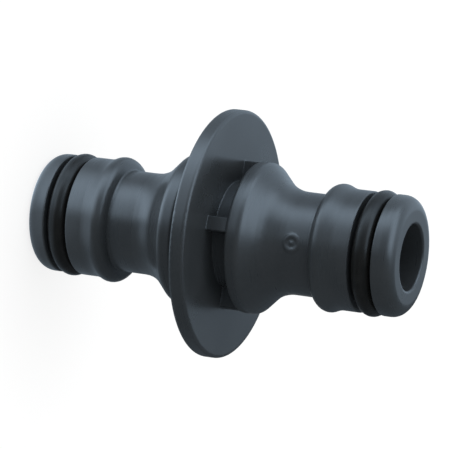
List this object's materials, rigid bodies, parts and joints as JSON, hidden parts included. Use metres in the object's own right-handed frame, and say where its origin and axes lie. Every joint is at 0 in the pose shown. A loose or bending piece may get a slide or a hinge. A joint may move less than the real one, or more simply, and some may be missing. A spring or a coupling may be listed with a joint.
{
  "type": "hose connector",
  "caption": "Straight hose coupler with a sealed snap-in plug at each end, a round flange in the middle and a through bore.",
  "frame": {"origin": "middle of the end face of the lower plug, on which the connector stands", "axes": "+Z along the bore from the lower plug to the upper plug; two of the four ribs beside the flange lie along X and two along Y, and the moulding gate faces -Y"},
  "size_m": [0.0332, 0.0332, 0.0524],
  "materials": {
    "connector_plastic": "moulded slate-grey plastic with a soft satin sheen",
    "seal_rubber": "smooth black seal rubber, slightly glossy"
  },
  "bodies": {
    "root": {"connector_body": "connector_plastic", "lower_o_ring": "seal_rubber", "upper_o_ring": "seal_rubber"}
  },
  "joints": []
}
